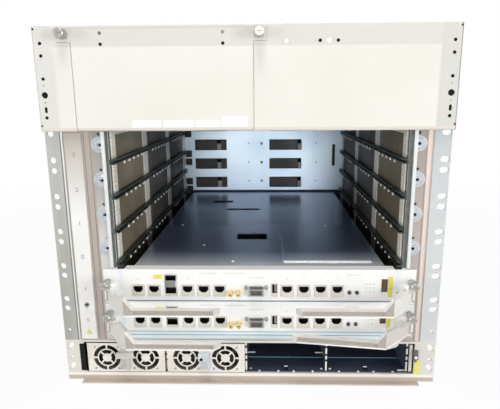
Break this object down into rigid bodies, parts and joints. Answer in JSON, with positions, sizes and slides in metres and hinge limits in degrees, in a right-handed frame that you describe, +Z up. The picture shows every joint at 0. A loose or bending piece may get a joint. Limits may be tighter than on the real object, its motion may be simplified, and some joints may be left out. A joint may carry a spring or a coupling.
{
  "type": "router chassis",
  "caption": "Rack-mounted modular router chassis with a hinged fan door, an open line-card cage, controller cards with ejector levers and a shelf of slide-in power modules.",
  "frame": {"origin": "on the underside, at mid width, in the plane of the rack flanges' front faces", "axes": "+X to the right seen from the front, +Y into the chassis, +Z up"},
  "size_m": [0.481, 0.73, 0.4445],
  "materials": {
    "fascia_paint": "satin",
    "zinc_steel": "satin",
    "ear_paint": "satin",
    "grey_paint": "satin",
    "card_paint": "satin",
    "card_steel": "satin",
    "board_green": "matt",
    "port_steel": "satin",
    "gold_brass": "polished",
    "display_glass": "gloss",
    "button_plastic": "gloss",
    "lever_plastic": "satin",
    "screw_chrome": "polished",
    "rail_plastic": "matt",
    "screen_paint": "matt",
    "bay_paint": "matt",
    "strip_paint": "matt",
    "module_paint": "satin",
    "fan_plastic": "matt",
    "latch_plastic": "satin",
    "inlet_plastic": "matt"
  },
  "bodies": {
    "chassis": {"chassis_tub": "zinc_steel", "top_cover": "zinc_steel", "rear_panel": "zinc_steel", "power_inlets": "inlet_plastic", "panel_screws": "screw_chrome", "rack_flange_left": "zinc_steel", "rack_flange_right": "ear_paint", "card_cage_left": "zinc_steel", "card_cage_right": "zinc_steel", "power_shelf_frame": "grey_paint", "bay_partitions": "bay_paint", "shelf_cross_member": "zinc_steel", "plenum_screens": "screen_paint", "guide_rails": "rail_plastic", "backplane_cover": "card_steel", "backplane_board": "board_green", "slot_label_strip": "strip_paint", "fascia": "fascia_paint", "hinge_pin": "zinc_steel", "fan_bay_floor": "zinc_steel", "fan_trays": "zinc_steel"},
    "door": {"fan_access_door": "fascia_paint"},
    "door_screw_left": {"door_screw_left": "screw_chrome"},
    "door_screw_right": {"door_screw_right": "screw_chrome"},
    "tray_fan_1": {"tray_fan_1": "fan_plastic"},
    "tray_fan_2": {"tray_fan_2": "fan_plastic"},
    "tray_fan_3": {"tray_fan_3": "fan_plastic"},
    "tray_fan_4": {"tray_fan_4": "fan_plastic"},
    "power_module_1": {"module_case_1": "module_paint"},
    "module_latch_1": {"module_latch_1": "latch_plastic"},
    "module_fan_1a": {"module_fan_1a": "fan_plastic"},
    "module_fan_1b": {"module_fan_1b": "fan_plastic"},
    "power_module_2": {"module_case_2": "module_paint"},
    "module_latch_2": {"module_latch_2": "latch_plastic"},
    "module_fan_2a": {"module_fan_2a": "fan_plastic"},
    "module_fan_2b": {"module_fan_2b": "fan_plastic"},
    "lower_card": {"lower_faceplate": "card_paint", "lower_carrier": "card_steel", "lower_board": "board_green", "lower_ports": "port_steel", "lower_coax": "gold_brass", "lower_display": "display_glass"},
    "lower_lever_left": {"lower_lever_left": "lever_plastic"},
    "lower_screw_left": {"lower_screw_left": "screw_chrome"},
    "lower_lever_right": {"lower_lever_right": "lever_plastic"},
    "lower_screw_right": {"lower_screw_right": "screw_chrome"},
    "lower_button_1": {"lower_button_1": "button_plastic"},
    "lower_button_2": {"lower_button_2": "button_plastic"},
    "upper_card": {"upper_faceplate": "card_paint", "upper_carrier": "card_steel", "upper_board": "board_green", "upper_ports": "port_steel", "upper_coax": "gold_brass", "upper_display": "display_glass"},
    "upper_lever_left": {"upper_lever_left": "lever_plastic"},
    "upper_screw_left": {"upper_screw_left": "screw_chrome"},
    "upper_lever_right": {"upper_lever_right": "lever_plastic"},
    "upper_screw_right": {"upper_screw_right": "screw_chrome"},
    "upper_button_1": {"upper_button_1": "button_plastic"},
    "upper_button_2": {"upper_button_2": "button_plastic"}
  },
  "joints": [
    {"name": "door_hinge", "type": "hinge", "parent": "chassis", "child": "door", "pos_m": [0, -0.0015, 0.3297], "axis": [1, 0, 0], "range_deg": [0, 95]},
    {"name": "door_screw_left_turn", "type": "hinge", "parent": "door", "child": "door_screw_left", "pos_m": [-0.205, -0.01, 0.4357], "axis": [0, 1, 0], "continuous": true},
    {"name": "door_screw_right_turn", "type": "hinge", "parent": "door", "child": "door_screw_right", "pos_m": [0.016, -0.01, 0.4357], "axis": [0, 1, 0], "continuous": true},
    {"name": "tray_fan_1_spin", "type": "hinge", "parent": "chassis", "child": "tray_fan_1", "pos_m": [-0.104, 0.124, 0.34], "axis": [0, 0, 1], "continuous": true},
    {"name": "tray_fan_2_spin", "type": "hinge", "parent": "chassis", "child": "tray_fan_2", "pos_m": [-0.104, 0.324, 0.34], "axis": [0, 0, 1], "continuous": true},
    {"name": "tray_fan_3_spin", "type": "hinge", "parent": "chassis", "child": "tray_fan_3", "pos_m": [0.104, 0.124, 0.34], "axis": [0, 0, 1], "continuous": true},
    {"name": "tray_fan_4_spin", "type": "hinge", "parent": "chassis", "child": "tray_fan_4", "pos_m": [0.104, 0.324, 0.34], "axis": [0, 0, 1], "continuous": true},
    {"name": "power_module_1_slide", "type": "slide", "parent": "chassis", "child": "power_module_1", "axis": [0, -1, 0], "range_m": [0, 0.35]},
    {"name": "module_latch_1_hinge", "type": "hinge", "parent": "power_module_1", "child": "module_latch_1", "pos_m": [-0.1664, -0.0017, 0.0298], "axis": [0, 0, -1], "range_deg": [0, 15]},
    {"name": "module_fan_1a_spin", "type": "hinge", "parent": "power_module_1", "child": "module_fan_1a", "pos_m": [-0.1863, 0.009, 0.0328], "axis": [0, 1, 0], "continuous": true},
    {"name": "module_fan_1b_spin", "type": "hinge", "parent": "power_module_1", "child": "module_fan_1b", "pos_m": [-0.1355, 0.009, 0.0328], "axis": [0, 1, 0], "continuous": true},
    {"name": "power_module_2_slide", "type": "slide", "parent": "chassis", "child": "power_module_2", "axis": [0, -1, 0], "range_m": [0, 0.35]},
    {"name": "module_latch_2_hinge", "type": "hinge", "parent": "power_module_2", "child": "module_latch_2", "pos_m": [-0.0618, -0.0017, 0.0298], "axis": [0, 0, -1], "range_deg": [0, 15]},
    {"name": "module_fan_2a_spin", "type": "hinge", "parent": "power_module_2", "child": "module_fan_2a", "pos_m": [-0.0817, 0.009, 0.0328], "axis": [0, 1, 0], "continuous": true},
    {"name": "module_fan_2b_spin", "type": "hinge", "parent": "power_module_2", "child": "module_fan_2b", "pos_m": [-0.0309, 0.009, 0.0328], "axis": [0, 1, 0], "continuous": true},
    {"name": "lower_card_slide", "type": "slide", "parent": "chassis", "child": "lower_card", "axis": [0, -1, 0], "range_m": [0, 0.45]},
    {"name": "lower_lever_left_pivot", "type": "hinge", "parent": "lower_card", "child": "lower_lever_left", "pos_m": [-0.1735, -0.008, 0.081], "axis": [0, 0, -1], "range_deg": [-12, 45]},
    {"name": "lower_screw_left_turn", "type": "hinge", "parent": "lower_card", "child": "lower_screw_left", "pos_m": [-0.176, -0.01, 0.0977], "axis": [0, 1, 0], "continuous": true},
    {"name": "lower_lever_right_pivot", "type": "hinge", "parent": "lower_card", "child": "lower_lever_right", "pos_m": [0.1995, -0.008, 0.081], "axis": [0, 0, 1], "range_deg": [-4, 53]},
    {"name": "lower_screw_right_turn", "type": "hinge", "parent": "lower_card", "child": "lower_screw_right", "pos_m": [0.202, -0.01, 0.0977], "axis": [0, 1, 0], "continuous": true},
    {"name": "lower_button_1_press", "type": "slide", "parent": "lower_card", "child": "lower_button_1", "axis": [0, 1, 0], "range_m": [0, 0.0015], "stiffness_N_per_m": 300},
    {"name": "lower_button_2_press", "type": "slide", "parent": "lower_card", "child": "lower_button_2", "axis": [0, 1, 0], "range_m": [0, 0.0015], "stiffness_N_per_m": 300},
    {"name": "upper_card_slide", "type": "slide", "parent": "chassis", "child": "upper_card", "axis": [0, -1, 0], "range_m": [0, 0.45]},
    {"name": "upper_lever_left_pivot", "type": "hinge", "parent": "upper_card", "child": "upper_lever_left", "pos_m": [-0.1735, -0.008, 0.1237], "axis": [0, 0, -1], "range_deg": [-12, 45]},
    {"name": "upper_screw_left_turn", "type": "hinge", "parent": "upper_card", "child": "upper_screw_left", "pos_m": [-0.176, -0.01, 0.1404], "axis": [0, 1, 0], "continuous": true},
    {"name": "upper_lever_right_pivot", "type": "hinge", "parent": "upper_card", "child": "upper_lever_right", "pos_m": [0.1995, -0.008, 0.1237], "axis": [0, 0, 1], "range_deg": [-12, 45]},
    {"name": "upper_screw_right_turn", "type": "hinge", "parent": "upper_card", "child": "upper_screw_right", "pos_m": [0.202, -0.01, 0.1404], "axis": [0, 1, 0], "continuous": true},
    {"name": "upper_button_1_press", "type": "slide", "parent": "upper_card", "child": "upper_button_1", "axis": [0, 1, 0], "range_m": [0, 0.0015], "stiffness_N_per_m": 300},
    {"name": "upper_button_2_press", "type": "slide", "parent": "upper_card", "child": "upper_button_2", "axis": [0, 1, 0], "range_m": [0, 0.0015], "stiffness_N_per_m": 300}
  ]
}
